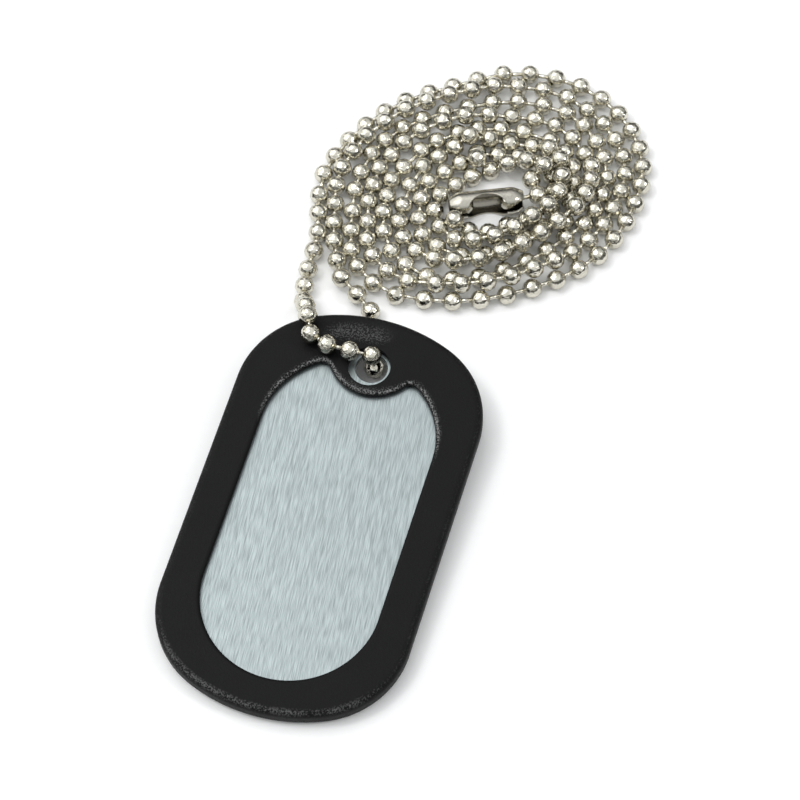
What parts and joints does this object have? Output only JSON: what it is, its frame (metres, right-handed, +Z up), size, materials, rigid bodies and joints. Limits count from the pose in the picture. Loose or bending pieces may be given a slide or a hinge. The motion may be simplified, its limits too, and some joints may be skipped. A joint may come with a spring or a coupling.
{
  "type": "identification dog tag",
  "caption": "Oblong metal identification tag in a black rubber silencer, on a coiled ball chain closed by a folded sheet clasp.",
  "frame": {"origin": "on the surface that the object lies on, under the middle of the tag", "axes": "+Y along the tag to its hole end, +Z up, +X to the right when the tag is read with the hole at the top"},
  "size_m": [0.0431, 0.102, 0.008],
  "materials": {
    "tag_aluminium": "brushed",
    "silencer_rubber": "matt",
    "chain_nickel": "bright nickel plating",
    "clasp_nickel": "bright nickel plating"
  },
  "bodies": {
    "root": {"tag_plate": "tag_aluminium", "silencer": "silencer_rubber", "ball_chain": "chain_nickel", "chain_links": "chain_nickel", "clasp": "clasp_nickel"}
  },
  "joints": []
}
